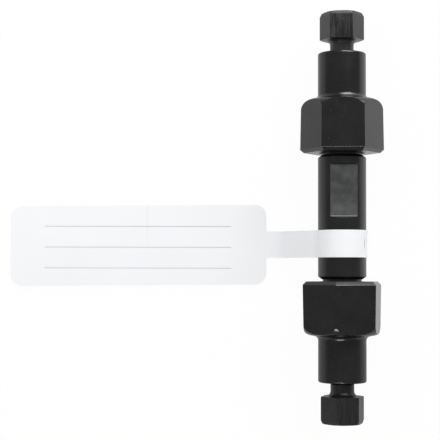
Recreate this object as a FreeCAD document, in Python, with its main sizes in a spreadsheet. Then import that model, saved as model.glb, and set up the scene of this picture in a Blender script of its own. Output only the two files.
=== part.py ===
import FreeCAD, Part
import math
import os

import Sketcher

# Ion chromatography guard column, 4 by 50 mm.
# A thick walled tube holds the packed bed. A one piece fitting, collar and hex nut together, screws on each
# end and presses a porous disc in its ring against the tube. A hex headed plug closes each port, and a film
# tag is looped round the tube.
# Frame: the column lies along +Y with its inlet towards +Y, +Z is up, and the origin is on the column's
# axis halfway along it. Millimetres and degrees.

# Driving dimensions: name, value, meaning
SIZES = (
    ("bed_diameter", 4.0, "bore of the tube"),
    ("bed_length", 50.0, "packed length, which is the length of the tube"),
    ("barrel_diameter", 12.6, "outside of the tube between the fittings"),
    ("barrel_length", 31.0, "full section of the tube between its two end slopes"),
    ("barrel_slope_reach", 1.0, "end slope of the barrel, across the axis"),
    ("barrel_slope_run", 0.75, "end slope of the barrel, along the axis"),
    ("relief_diameter", 10.2, "thread relief beside the barrel"),
    ("relief_width", 1.5, "length of the thread relief"),
    ("spigot_diameter", 10.6, "threaded ends of the tube"),
    ("spigot_lead", 0.4, "lead at the tip of a threaded end"),
    ("wrench_flats", 10.5, "across the two wrench flats of the tube"),
    ("wrench_start", 0.15, "from the middle of the column to the near end of the flats"),
    ("wrench_length", 13.4, "length of the flats"),
    ("wrench_run", 0.5, "run of the sloping shoulder at each end of the flats"),
    ("fit_gap", 0.06, "radial clearance of parts that screw into each other"),
    ("fill_gap", 0.02, "radial clearance round the bed and round the porous discs"),
    ("seat_gap", 0.05, "gap between faces that seat on each other"),
    ("engagement", 8.2, "length of tube inside each fitting"),
    ("fitting_length", 26.25, "whole length of an end fitting"),
    ("nut_length", 14.2, "length of its hex, up to the shoulder"),
    ("nut_flats", 19.1, "across the flats at the inner end of the hex"),
    ("nut_draft", 0.9, "draft of the flats, which narrow outwards"),
    ("nut_edge", 0.9, "bevel round the inner end of the hex"),
    ("crown_radius", 2.9, "rounding of the hex corners at the shoulder"),
    ("shoulder_fall", 0.15, "fall of the shoulder from collar to crown"),
    ("collar_diameter", 12.6, "collar round the port"),
    ("collar_root", 1.2, "hollow radius where collar meets shoulder"),
    ("collar_edge", 0.5, "bevel of the free end of the collar"),
    ("frit_diameter", 6.4, "porous disc"),
    ("support_depth", 2.0, "thickness of the porous disc and its ring"),
    ("spread_diameter", 4.6, "shallow cone that spreads the flow over the disc"),
    ("spread_depth", 0.4, "depth of that cone"),
    ("passage_diameter", 0.8, "passage from the port to the bed"),
    ("port_diameter", 4.84, "threaded port"),
    ("port_depth", 7.5, "threaded depth of the port"),
    ("port_mouth", 0.3, "bevel at the mouth of the port"),
    ("seat_diameter", 4.0, "wide end of the conical seat in the port"),
    ("seat_depth", 3.3, "depth of the conical seat"),
    ("pocket_diameter", 1.6, "tubing pocket below the seat"),
    ("pocket_depth", 1.2, "depth of the tubing pocket"),
    ("head_flats", 10.15, "across the flats of a plug's head"),
    ("head_length", 7.1, "length of a plug's head"),
    ("head_tip", 1.05, "length of the tapered end of the head"),
    ("head_taper", 15.0, "taper of the head's end"),
    ("head_crown", 0.6, "rounding of the head's corners at its end"),
    ("head_under_run", 0.25, "bevel under the head's corners, along the axis"),
    ("head_under_reach", 0.4, "bevel under the head's corners, across the axis"),
    ("neck_diameter", 6.2, "neck between head and collar"),
    ("neck_length", 3.4, "length of the neck"),
    ("neck_root", 0.8, "bevel where neck meets head"),
    ("neck_lead", 0.4, "bevel at the inner end of the neck"),
    ("shank_stop", 0.5, "threaded shank of a plug ends this far above the floor of its port"),
    ("nose_length", 2.9, "conical nose of a plug"),
    ("nose_gap", 0.12, "radial clearance of the nose in its seat"),
    ("inlet_plug_gap", 0.05, "neck of the inlet plug off the collar"),
    ("outlet_plug_gap", 0.2, "neck of the outlet plug off the collar"),
    ("inlet_nut_turn", -33.4, "turn of the inlet nut, from a corner straight up"),
    ("outlet_nut_turn", -13.8, "turn of the outlet nut"),
    ("inlet_plug_turn", -36.7, "turn of the inlet plug"),
    ("outlet_plug_turn", -19.2, "turn of the outlet plug"),
    ("film", 0.2, "thickness of one layer of the tag's film"),
    ("band_gap", 0.05, "gap between the tag's band and the tube"),
    ("tag_middle", 7.0, "from the middle of the column to the middle of the band, towards the outlet"),
    ("band_slit", 2.6, "length of the slit in the band"),
    ("band_slit_gap", 0.3, "width of the slit"),
    ("band_slit_turn", -56.0, "place of the slit round the tube, from straight up"),
    ("strap_width", 7.1, "width of the tag's strap and band"),
    ("strap_leave", 10.0, "slope of the strap where it leaves the band"),
    ("strap_slope", 46.0, "steepest slope of the strap"),
    ("strap_bend_upper", 4.0, "upper bend of the strap"),
    ("strap_bend_lower", 6.0, "lower bend of the strap"),
    ("panel_drop", 10.0, "middle of the panel's thickness below the column's axis"),
    ("panel_start", 19.5, "from the column's axis to the near edge of the panel"),
    ("panel_length", 68.75, "length of the panel"),
    ("panel_width", 21.45, "width of the panel"),
    ("panel_corner", 3.1, "corner radius of the panel"),
    ("panel_shift", 0.05, "middle of the panel's near edge off the middle of the band, along the axis"),
    ("panel_skew", 0.4, "turn of the panel, seen from above"),
)

ROOT_3 = math.sqrt(3.0)
FULL_TURN = 360.0
INLET = 1
OUTLET = -1
V_AXIS = "V_Axis"
SPARE = 2.0  # how far a cut reaches beyond the solid
ROUNDING = 1e-6
SHEET = "Sizes"


class Size:
    """A length or an angle: its value, and the same as an expression on the sheet of sizes."""

    def __init__(self, value, text):
        self.value = value
        self.text = text

    def join(self, sign, other, value):
        return Size(value, "(%s %s %s)" % (self.text, sign, other.text))

    def __add__(self, other):
        other = as_size(other)
        return self.join("+", other, self.value + other.value)

    def __sub__(self, other):
        other = as_size(other)
        return self.join("-", other, self.value - other.value)

    def __mul__(self, other):
        other = as_size(other)
        return self.join("*", other, self.value * other.value)

    def __truediv__(self, other):
        other = as_size(other)
        return self.join("/", other, self.value / other.value)


def as_size(number):
    if isinstance(number, Size):
        return number
    return Size(float(number), repr(float(number)))


def function_of(name, angle, value):
    return Size(value, "%s(%s)" % (name, angle.text))


def sine(angle):
    return function_of("sin", angle, math.sin(math.radians(angle.value)))


def cosine(angle):
    return function_of("cos", angle, math.cos(math.radians(angle.value)))


def tangent(angle):
    return function_of("tan", angle, math.tan(math.radians(angle.value)))


ZERO = as_size(0)


def make_sheet(doc):
    """Write the driving dimensions to the sheet and give them back as sizes by name."""
    sheet = doc.addObject("Spreadsheet::Sheet", SHEET)
    sizes = {}
    for row, (name, value, meaning) in enumerate(SIZES, start=1):
        sheet.set("A%d" % row, name)
        sheet.set("B%d" % row, str(value))
        sheet.set("C%d" % row, meaning)
        sheet.setAlias("B%d" % row, name)
        sizes[name] = Size(value, "%s.%s" % (SHEET, name))
    doc.recompute()
    return sizes


def bind(item, name, size):
    """Give a property its size, as an expression on the sheet."""
    item.setExpression(name, as_size(size).text)


# Sketches

def origin_plane(body, role):
    return [item for item in body.Origin.OriginFeatures if item.Role == role][0]


def new_sketch(body, name, role):
    sketch = body.newObject("Sketcher::SketchObject", name)
    sketch.AttachmentSupport = [(origin_plane(body, role), "")]
    sketch.MapMode = "FlatFace"
    return sketch


def name_constraint(sketch, index, size):
    """Bind a driving constraint to its size."""
    sketch.setExpression("Constraints[%d]" % index, size.text)


def place_point(sketch, edge, end, along, size):
    """Hold one coordinate of a point: along is X or Y."""
    axis = -2 if along == "X" else -1
    if size.value == 0.0 and size.text == ZERO.text:
        sketch.addConstraint(Sketcher.Constraint("PointOnObject", edge, end, axis))
        return
    kind = "Distance" + along
    index = sketch.addConstraint(Sketcher.Constraint(kind, -1, 1, edge, end, size.value))
    name_constraint(sketch, index, size)


def arc_between(first, last, radius, side):
    """An arc from first to last, counterclockwise for side 1, clockwise for side -1."""
    chord = last - first
    half = chord.Length / 2.0
    rise = math.sqrt(max(radius * radius - half * half, 0.0))
    across = FreeCAD.Vector(-chord.y, chord.x, 0).normalize()
    centre = first + chord / 2.0 + across * rise * side
    circle = Part.Circle(centre, FreeCAD.Vector(0, 0, 1), radius)
    start, stop = (first, last) if side > 0 else (last, first)
    return Part.ArcOfCircle(circle, circle.parameter(start), circle.parameter(stop))


def draw_outline(sketch, points, arcs=None):
    """Draw a closed outline through points, each a pair of sizes, and hold every one of them.

    arcs gives, for the edge that starts at a point's number, its radius and side.
    """
    arcs = arcs or {}
    count = len(points)
    spots = [FreeCAD.Vector(x.value, y.value, 0) for x, y in points]
    starts, ends = [], []
    for number in range(count):
        first, last = spots[number], spots[(number + 1) % count]
        if number in arcs:
            radius, side = arcs[number]
            edge = sketch.addGeometry(arc_between(first, last, radius.value, side), False)
            starts.append((edge, 1 if side > 0 else 2))
            ends.append((edge, 2 if side > 0 else 1))
        else:
            edge = sketch.addGeometry(Part.LineSegment(first, last), False)
            starts.append((edge, 1))
            ends.append((edge, 2))
    for number in range(count):
        link = ends[number] + starts[(number + 1) % count]
        sketch.addConstraint(Sketcher.Constraint("Coincident", *link))
    for number, (x, y) in enumerate(points):
        edge, end = starts[number]
        before = points[number - 1]
        straight = number > 0 and (number - 1) not in arcs
        if straight and x.text == before[0].text:
            sketch.addConstraint(Sketcher.Constraint("Vertical", starts[number - 1][0]))
        else:
            place_point(sketch, edge, end, "X", x)
        if straight and y.text == before[1].text:
            sketch.addConstraint(Sketcher.Constraint("Horizontal", starts[number - 1][0]))
        else:
            place_point(sketch, edge, end, "Y", y)
    for number, (radius, side) in arcs.items():
        index = sketch.addConstraint(Sketcher.Constraint("Radius", starts[number][0], radius.value))
        name_constraint(sketch, index, radius)


def rounding(across, along, radius, start, stop, runs=2):
    """Points of a rounding about a centre, from one angle to another, joined by short straight runs."""
    points = []
    for number in range(runs + 1):
        angle = as_size(start + (stop - start) * number / runs)
        points.append((across + radius * cosine(angle), along + radius * sine(angle)))
    return points


def draw_circle(sketch, radius):
    circle = Part.Circle(FreeCAD.Vector(0, 0, 0), FreeCAD.Vector(0, 0, 1), radius.value)
    edge = sketch.addGeometry(circle, False)
    sketch.addConstraint(Sketcher.Constraint("Coincident", edge, 3, -1, 1))
    index = sketch.addConstraint(Sketcher.Constraint("Radius", edge, radius.value))
    name_constraint(sketch, index, radius)
    return edge


def draw_hexagon(sketch, flats):
    """A regular hexagon round the origin, with a corner on the sketch's vertical axis."""
    corner = flats / ROOT_3
    spots = []
    for number in range(6):
        angle = math.radians(90.0 + 60.0 * number)
        spots.append(FreeCAD.Vector(corner.value * math.cos(angle), corner.value * math.sin(angle), 0))
    sides = []
    for number in range(6):
        sides.append(sketch.addGeometry(Part.LineSegment(spots[number], spots[(number + 1) % 6]), False))
    circle = draw_circle(sketch, corner)
    sketch.toggleConstruction(circle)
    for number in range(6):
        following = sides[(number + 1) % 6]
        sketch.addConstraint(Sketcher.Constraint("Coincident", sides[number], 2, following, 1))
        sketch.addConstraint(Sketcher.Constraint("PointOnObject", sides[number], 1, circle))
    for side in sides[1:]:
        sketch.addConstraint(Sketcher.Constraint("Equal", sides[0], side))
    sketch.addConstraint(Sketcher.Constraint("PointOnObject", sides[0], 1, -2))


# Features

def new_body(doc, label):
    body = doc.addObject("PartDesign::Body", label)
    body.Label = label
    return body


def turned(body, kind, name, points, arcs=None):
    """Turn an outline of radius and height round the body's Z axis, as a Revolution or a Groove."""
    sketch = new_sketch(body, name + "_outline", "XZ_Plane")
    draw_outline(sketch, points, arcs)
    feature = body.newObject("PartDesign::" + kind, name)
    feature.Profile = sketch
    feature.ReferenceAxis = (sketch, [V_AXIS])
    feature.Angle = FULL_TURN
    return feature


def hex_pad(body, name, flats, height, length):
    """A hex prism of some length whose near face is at a height up the body's Z axis."""
    sketch = new_sketch(body, name + "_outline", "XY_Plane")
    bind(sketch, "AttachmentOffset.Base.z", height)
    draw_hexagon(sketch, flats)
    return push(body, "Pad", name, sketch, length, "Up")


def push(body, kind, name, sketch, length, way="Symmetric"):
    """Push a sketch into a Pad or a Pocket, to both sides of its plane or along the plane's normal."""
    feature = body.newObject("PartDesign::" + kind, name)
    feature.Profile = sketch
    if way == "Symmetric":
        feature.SideType = way
    else:
        feature.Reversed = kind == "Pocket"
    bind(feature, "Length", length)
    return feature


def edges_at_origin(shape):
    """Names of the edges that lie in the plane through the body's origin, square to its Z axis."""
    names = []
    for number, edge in enumerate(shape.Edges, start=1):
        box = edge.BoundBox
        if max(abs(box.ZMin), abs(box.ZMax)) < ROUNDING:
            names.append("Edge%d" % number)
    return names


def stand(item, end, station, turn):
    """Put a piece modelled along +Z on the column's axis, its origin at station towards one end."""
    upright = FreeCAD.Rotation(FreeCAD.Vector(1, 0, 0), -90.0 * end)
    turning = FreeCAD.Rotation(FreeCAD.Vector(0, 1, 0), turn)
    item.Placement = FreeCAD.Placement(FreeCAD.Vector(0, end * station.value, 0), turning * upright)
    bind(item, "Placement.Base.y", station * end)


# Pieces

def make_tube(doc, size):
    """The tube: barrel, thread reliefs, plain spigots for the threads, bore and two wrench flats."""
    body = new_body(doc, "column_tube")
    length = size["bed_length"]
    barrel = size["barrel_diameter"] / 2
    shoulder = barrel - size["barrel_slope_reach"]
    relief = size["relief_diameter"] / 2
    spigot = size["spigot_diameter"] / 2
    lead = size["spigot_lead"]
    low = (length - size["barrel_length"]) / 2
    low_slope = low - size["barrel_slope_run"]
    low_relief = low_slope - size["relief_width"]
    points = [
        (ZERO, ZERO), (spigot - lead, ZERO), (spigot, lead), (spigot, low_relief),
        (relief, low_relief), (relief, low_slope), (shoulder, low_slope), (barrel, low),
        (barrel, length - low), (shoulder, length - low_slope), (relief, length - low_slope),
        (relief, length - low_relief), (spigot, length - low_relief), (spigot, length - lead),
        (spigot - lead, length), (ZERO, length),
    ]
    turned(body, "Revolution", "tube_blank", points)
    hole = new_sketch(body, "bore_outline", "XY_Plane")
    draw_circle(hole, size["bed_diameter"] / 2)
    push(body, "Pocket", "bore", hole, length, "Up")

    flat = size["wrench_flats"] / 2
    near = length / 2 + size["wrench_start"]
    far = near + size["wrench_length"]
    outside = barrel + SPARE
    run = size["wrench_run"] * (outside - flat) / (barrel - flat)
    sketch = new_sketch(body, "wrench_flat_outline", "YZ_Plane")
    draw_outline(sketch, [(flat, near), (outside, near - run), (outside, far + run), (flat, far)])
    cut = push(body, "Pocket", "wrench_flat", sketch, size["barrel_diameter"] + SPARE)
    pair = body.newObject("PartDesign::Mirrored", "wrench_flats")
    pair.Originals = [cut]
    pair.MirrorPlane = (origin_plane(body, "XZ_Plane"), [""])
    body.Tip = pair
    stand(body, INLET, ZERO - length / 2, 0.0)
    return body


def make_bed(doc, size):
    """The packed resin, a plain cylinder that fills the bore."""
    bed = doc.addObject("Part::Cylinder", "resin_bed")
    bind(bed, "Radius", size["bed_diameter"] / 2 - size["fill_gap"])
    bind(bed, "Height", size["bed_length"])
    stand(bed, INLET, ZERO - size["bed_length"] / 2, 0.0)
    return bed


def make_fitting(doc, size, name, end):
    """An end fitting: hex nut with rounded crown, collar, and the stepped cavity from end to end."""
    body = new_body(doc, name + "_end_fitting")
    length = size["fitting_length"]
    nut = size["nut_length"]
    collar = size["collar_diameter"] / 2
    root = size["collar_root"]
    crown = size["crown_radius"]
    corner = (size["nut_flats"] - nut * 2 * tangent(size["nut_draft"])) / ROOT_3

    hexagon = hex_pad(body, "nut", size["nut_flats"], ZERO, nut)
    bind(hexagon, "TaperAngle", ZERO - size["nut_draft"])

    fall = nut - size["shoulder_fall"]
    outside = corner + SPARE
    points = [(collar + root, nut)] + rounding(corner - crown, fall - crown, crown, 90.0, 0.0)
    points += [(outside, fall - crown), (outside, nut + SPARE), (collar + root, nut + SPARE)]
    turned(body, "Groove", "crown", points)

    edge = size["collar_edge"]
    points = [(ZERO, fall - crown), (collar + root, fall - crown)]
    points += rounding(collar + root, nut + root, root, 270.0, 180.0)
    points += [(collar, length - edge), (collar - edge, length), (ZERO, length)]
    blank = turned(body, "Revolution", "collar", points)

    doc.recompute()
    bevel = body.newObject("PartDesign::Chamfer", "nut_bevel")
    bevel.Base = (blank, edges_at_origin(blank.Shape))
    bind(bevel, "Size", size["nut_edge"])

    turned(body, "Groove", "cavity", cavity_profile(size))
    stand(body, end, fitting_station(size), size[name + "_nut_turn"].value)
    return body


def cavity_profile(size):
    """A fitting's cavity from its inner face: thread, flow spreader, passage, tubing pocket, seat, port."""
    length = size["fitting_length"]
    thread = size["spigot_diameter"] / 2 + size["fit_gap"]
    seat = size["engagement"] + size["support_depth"] + size["seat_gap"] * 2
    port_floor = length - size["port_depth"]
    cone_floor = port_floor - size["seat_depth"]
    pocket_floor = cone_floor - size["pocket_depth"]
    spread = size["spread_diameter"] / 2
    passage = size["passage_diameter"] / 2
    pocket = size["pocket_diameter"] / 2
    port = size["port_diameter"] / 2
    mouth = size["port_mouth"]
    return [
        (ZERO, ZERO), (thread, ZERO), (thread, seat), (spread, seat),
        (passage, seat + size["spread_depth"]), (passage, pocket_floor), (pocket, pocket_floor),
        (pocket, cone_floor), (size["seat_diameter"] / 2, port_floor), (port, port_floor),
        (port, length - mouth), (port + mouth, length), (ZERO, length),
    ]


def fitting_station(size):
    """Distance of a fitting's inner face from the middle of the column."""
    return size["bed_length"] / 2 - size["engagement"]


def make_frit(doc, size, name, end):
    """The porous disc that holds the resin back."""
    disc = doc.addObject("Part::Cylinder", name + "_frit")
    bind(disc, "Radius", size["frit_diameter"] / 2)
    bind(disc, "Height", size["support_depth"])
    stand(disc, end, size["bed_length"] / 2 + size["seat_gap"], 0.0)
    return disc


def make_ring(doc, size, name, end):
    """The ring round the disc, which seals the tube's end to the fitting."""
    body = new_body(doc, name + "_seal_ring")
    sketch = new_sketch(body, "ring_outline", "XY_Plane")
    draw_circle(sketch, size["spigot_diameter"] / 2)
    draw_circle(sketch, size["frit_diameter"] / 2 + size["fill_gap"])
    push(body, "Pad", "ring", sketch, size["support_depth"], "Up")
    stand(body, end, size["bed_length"] / 2 + size["seat_gap"], 0.0)
    return body


def make_plug(doc, size, name, end):
    """A plug: conical nose, plain shank for the thread, neck with a bevelled root, and hex head."""
    body = new_body(doc, name + "_plug")
    seat = size["seat_diameter"] / 2
    cone = size["nose_length"]
    nose = seat - size["nose_gap"]
    tip = nose - cone * (seat - size["pocket_diameter"] / 2) / size["seat_depth"]
    shank_start = cone + size["shank_stop"]
    shank = size["port_diameter"] / 2 - size["fit_gap"]
    neck_start = cone + size["port_depth"]
    neck = size["neck_diameter"] / 2
    lead = size["neck_lead"]
    under = neck_start + size["neck_length"]
    root = size["neck_root"]
    top = under + size["head_length"]
    corner = size["head_flats"] / ROOT_3
    crown = size["head_crown"]
    end_taper = size["head_tip"]

    hex_pad(body, "head", size["head_flats"], under, size["head_length"] - end_taper)
    end_pad = hex_pad(body, "head_end", size["head_flats"], top - end_taper, end_taper)
    bind(end_pad, "TaperAngle", ZERO - size["head_taper"])
    corner_end = corner - end_taper * tangent(size["head_taper"]) * 2 / ROOT_3
    outside = corner + SPARE
    points = rounding(corner_end - crown, top - crown, crown, 90.0, 0.0)
    points += [(outside, top - crown), (outside, top + SPARE), (corner_end - crown, top + SPARE)]
    turned(body, "Groove", "head_crown", points)
    reach = size["head_under_reach"]
    points = [(corner - reach, under), (corner + reach, under),
              (corner + reach, under + size["head_under_run"] * 2)]
    turned(body, "Groove", "head_bevel", points)

    points = [
        (ZERO, ZERO), (tip, ZERO), (nose, cone), (nose, shank_start), (shank, shank_start),
        (shank, neck_start), (neck - lead, neck_start), (neck, neck_start + lead),
    ]
    points += [(neck, under - root), (neck + root, under), (neck + root, under + root), (ZERO, under + root)]
    turned(body, "Revolution", "stem", points)
    seated = fitting_station(size) + size["fitting_length"] - neck_start
    stand(body, end, seated + size[name + "_plug_gap"], size[name + "_plug_turn"].value)
    return body


def strap_profile(size):
    """Side view of the strap and panel: x runs away from the tube, y down, along the strap's mid line.

    The strap leaves the band at strap_leave, bends down to strap_slope, runs straight and bends back to
    level at the panel. Both faces lie one film's thickness off the mid line.
    """
    leave, steep = size["strap_leave"], size["strap_slope"]
    upper, lower = size["strap_bend_upper"], size["strap_bend_lower"]
    film = size["film"]
    start = size["barrel_diameter"] / 2 + size["band_gap"] + film / 2
    begin = (start * cosine(leave), start * sine(leave))
    bent = (begin[0] + upper * (sine(steep) - sine(leave)), begin[1] + upper * (cosine(leave) - cosine(steep)))
    foot_y = size["panel_drop"] - lower * (as_size(1) - cosine(steep))
    foot = (bent[0] + (foot_y - bent[1]) * cosine(steep) / sine(steep), foot_y)
    level = (foot[0] + lower * sine(steep), size["panel_drop"])
    end = (size["panel_start"] + size["panel_length"] + SPARE, size["panel_drop"])
    slopes = (leave, steep, steep, ZERO, ZERO)
    top, under = [], []
    for (x, y), slope in zip((begin, bent, foot, level, end), slopes):
        top.append((x + film * sine(slope), y - film * cosine(slope)))
        under.append((x - film * sine(slope), y + film * cosine(slope)))
    under.reverse()
    arcs = {0: (upper + film, 1), 2: (lower - film, -1), 6: (lower + film, 1), 8: (upper - film, -1)}
    return top + under, arcs


def tag_plan(size):
    """Strap and panel seen from above: x runs along the panel from its near edge, y across it.

    The outline is wound inside a wide frame, so that the space between them can be cut away.
    """
    start, length = size["panel_start"], size["panel_length"]
    strap = size["strap_width"] / 2
    half = size["panel_width"] / 2
    corner = size["panel_corner"]
    band = start * sine(size["panel_skew"]) - size["panel_shift"]
    low, high = ZERO - half, half
    return [
        (ZERO - start, band - strap), (ZERO, ZERO - strap), (ZERO, low + corner), (corner, low),
        (length - corner, low), (length, low + corner), (length, high - corner), (length - corner, high),
        (corner, high), (ZERO, high - corner), (ZERO, strap), (ZERO - start, band + strap),
    ], {2: (corner, 1), 4: (corner, 1), 6: (corner, 1), 8: (corner, 1)}


def make_tag(doc, size):
    """The film tag: a band round the tube, a strap of two layers down to the bench, and the panel.

    Modelled from the middle of the band, with x away from the tube, y down and z towards the outlet.
    """
    body = new_body(doc, "tag")
    start, length = size["panel_start"], size["panel_length"]
    half = size["panel_width"] / 2
    radius = size["barrel_diameter"] / 2 + size["band_gap"]
    wide = half + size["panel_shift"] + SPARE

    side = new_sketch(body, "strap_outline", "XY_Plane")
    draw_outline(side, *strap_profile(size))
    push(body, "Pad", "strap_and_panel", side, wide * 2)

    plan = new_sketch(body, "tag_outline", "XZ_Plane")
    skew = FreeCAD.Rotation(FreeCAD.Vector(0, 0, 1), size["panel_skew"].value)
    plan.AttachmentOffset = FreeCAD.Placement(FreeCAD.Vector(0, 0, 0), skew)
    bind(plan, "AttachmentOffset.Base.x", start)
    bind(plan, "AttachmentOffset.Base.y", size["panel_shift"])
    draw_outline(plan, *tag_plan(size))
    near, far, edge = ZERO - start - SPARE, length + SPARE * 2, wide + SPARE
    draw_outline(plan, [(near, ZERO - edge), (far, ZERO - edge), (far, edge), (near, edge)])
    push(body, "Pocket", "trimmed", plan, (size["panel_drop"] + SPARE) * 2)

    ring = new_sketch(body, "band_outline", "XY_Plane")
    draw_circle(ring, radius)
    draw_circle(ring, radius + size["film"])
    push(body, "Pad", "band", ring, size["strap_width"])

    slit = new_sketch(body, "slit_outline", "XZ_Plane")
    turn = FreeCAD.Rotation(FreeCAD.Vector(0, 1, 0), size["band_slit_turn"].value)
    slit.AttachmentOffset = FreeCAD.Placement(FreeCAD.Vector(0, 0, 0), turn)
    x, y = size["band_slit_gap"] / 2, size["band_slit"] / 2
    draw_outline(slit, [(ZERO - x, ZERO - y), (x, ZERO - y), (x, y), (ZERO - x, y)])
    push(body, "Pocket", "slit", slit, radius + SPARE, "Up")

    lying = FreeCAD.Rotation(FreeCAD.Vector(-1, 0, 0), FreeCAD.Vector(0, 0, -1), FreeCAD.Vector(0, -1, 0))
    body.Placement = FreeCAD.Placement(FreeCAD.Vector(0, 0, 0), lying)
    bind(body, "Placement.Base.y", ZERO - size["tag_middle"])
    return body


# Document

def check(doc, pieces):
    """Stop if anything failed to build."""
    for item in doc.Objects:
        if "Invalid" in item.State or "Error" in item.State:
            raise RuntimeError("%s did not build: %s" % (item.Name, item.State))
    for piece in pieces:
        if piece.Shape.isNull() or not piece.Shape.isValid():
            raise RuntimeError("%s has no valid shape" % piece.Label)


def main():
    doc = FreeCAD.newDocument("guard_column")
    size = make_sheet(doc)
    pieces = [make_tube(doc, size), make_bed(doc, size)]
    for name, end in (("inlet", INLET), ("outlet", OUTLET)):
        for make in (make_fitting, make_frit, make_ring, make_plug):
            pieces.append(make(doc, size, name, end))
    pieces.append(make_tag(doc, size))
    doc.recompute()
    check(doc, pieces)
    os.makedirs("parts", exist_ok=True)
    for piece in pieces:
        piece.Shape.exportStep("parts/%s.step" % piece.Label)
        print(piece.Label, round(piece.Shape.Volume, 2), len(piece.Shape.Solids), piece.Shape.BoundBox)


main()
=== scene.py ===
import math

import bmesh
import bpy
from mathutils import Matrix, Vector


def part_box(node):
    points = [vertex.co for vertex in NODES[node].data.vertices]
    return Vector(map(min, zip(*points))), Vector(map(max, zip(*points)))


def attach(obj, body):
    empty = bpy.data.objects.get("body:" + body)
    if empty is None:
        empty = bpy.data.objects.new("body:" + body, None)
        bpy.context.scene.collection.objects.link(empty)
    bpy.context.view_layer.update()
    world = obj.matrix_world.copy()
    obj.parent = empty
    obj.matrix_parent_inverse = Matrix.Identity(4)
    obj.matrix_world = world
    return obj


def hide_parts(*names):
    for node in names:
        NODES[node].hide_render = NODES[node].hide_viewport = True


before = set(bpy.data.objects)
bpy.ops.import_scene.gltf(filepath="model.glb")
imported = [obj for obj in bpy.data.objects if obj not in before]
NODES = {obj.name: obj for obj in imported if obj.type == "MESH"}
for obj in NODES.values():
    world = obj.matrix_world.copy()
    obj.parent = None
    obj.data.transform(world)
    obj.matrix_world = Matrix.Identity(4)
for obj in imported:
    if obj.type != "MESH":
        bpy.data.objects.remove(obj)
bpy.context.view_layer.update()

bl_info = {
    "name": "Guard Column Looks",
    "version": (1, 0, 0),
    "blender": (4, 5, 0),
    "location": "View3D > Sidebar > Column",
    "description": "Dresses a packed ion chromatography guard column: moulded fittings, tube, plugs and tag",
    "category": "Object",
}

# Frame: the column lies along +Y with its inlet towards +Y, +Z is up, the origin is on its axis.
# Pieces are shaped in millimetres about +Z, and brought to metres when they are laid down.
MM = 0.001
INLET, OUTLET = 1, -1
ENDS = (("inlet", INLET), ("outlet", OUTLET))
FULL_TURN = 2.0 * math.pi
SPIN_STEPS = 96
HEX_SIDES = 6
# Points closer than this are one, and a cut meets points closer than this, in millimetres.
WELD, TOUCH = 1e-5, 1e-6
SHARP = math.radians(28.0)
# Facets of a hexagon's soft corners, and slopes of the bevel round a nut and of its soft step to the flats.
CORNER_FACETS = (-15.0, 0.0, 15.0)
BEVEL_SLOPE, STEP_SLOPE = math.radians(-45.0), math.radians(-26.0)
STEP_HEIGHT = 1.12  # of the bevel's own height
# A thread: steps in a turn, steps in which it fades out, depth of its foot inside the wall, and half widths
# of foot, base and crest in pitches.
THREAD_STEPS, THREAD_FADE, THREAD_FOOT = 48, 14.0, 0.06
THREAD_PROFILE = (0.47, 0.44, 0.09)
# Radius of the wall, radius of the crest and pitch of the two inside threads of a fitting.
TUBE_THREAD = (5.86, 5.36, 1.0)
PORT_THREAD = (2.84, 2.42, 0.794)
WHITE = (1.0, 1.0, 1.0)
# Each lamp's name, place and size in metres, power in watts, and what it lights.
LAMPS = (
    ("lamp_right", (0.55, 0.20, 0.42), (0.30, 0.60), 1.1, "matt"),
    ("lamp_left", (-0.48, 0.10, 0.48), (0.30, 0.60), 1.85, "matt"),
    ("lamp_far", (0.20, 0.62, 0.50), (0.60, 0.46), 5.4, "both"),
    ("lamp_far_core", (0.24, 0.60, 0.40), (0.46, 0.34), 3.8, "gloss"),
    ("lamp_low", (0.35, 0.86, 0.20), (0.80, 0.38), 3.3, "gloss"),
    ("lamp_near", (-0.18, -0.70, 0.60), (0.42, 0.24), 4.3, "gloss"),
)


# Settings that a user would change

def length(name, text, default):
    return bpy.props.FloatProperty(name=name, description=text, default=default * MM, unit="LENGTH",
                                   precision=5)


def angle(name, text, default):
    return bpy.props.FloatProperty(name=name, description=text, default=math.radians(default),
                                   unit="ROTATION")


def factor(name, text, default):
    return bpy.props.FloatProperty(name=name, description=text, default=default, min=0.0, max=1.0,
                                   subtype="FACTOR")


def colour(name, text, default):
    return bpy.props.FloatVectorProperty(name=name, description=text, default=default, size=3, min=0.0,
                                         max=1.0, subtype="COLOR")


class TubeSizes(bpy.types.PropertyGroup):
    barrel: length("Barrel", "Outside diameter of the tube between the fittings", 12.6)
    barrel_length: length("Barrel length", "Full section of the tube", 31.0)
    slope_reach: length("End slope reach", "Slope at each end of the barrel, across the axis", 1.0)
    slope_run: length("End slope run", "Slope at each end of the barrel, along the axis", 0.75)
    relief: length("Thread relief", "Diameter beside the barrel", 10.2)
    relief_width: length("Relief width", "Length of the thread relief", 1.5)
    spigot: length("Thread crest", "Diameter over the threads of the ends", 10.6)
    thread_depth: length("Thread depth", "Depth of the threads of the ends", 0.5)
    pitch: length("Thread pitch", "Pitch of the threads of the ends", 1.0)
    flats: length("Wrench flats", "Across the two flats", 10.5)
    flats_start: length("Flats start", "From the middle of the column", -0.15)
    flats_length: length("Flats length", "Length of the flats", 13.7)
    flats_run: length("Shoulder run", "Run of the shoulders of the flats", 0.25)
    flats_foot: length("Foot radius", "Hollow radius at the foot of the shoulders of the flats", 0.45)


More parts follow.
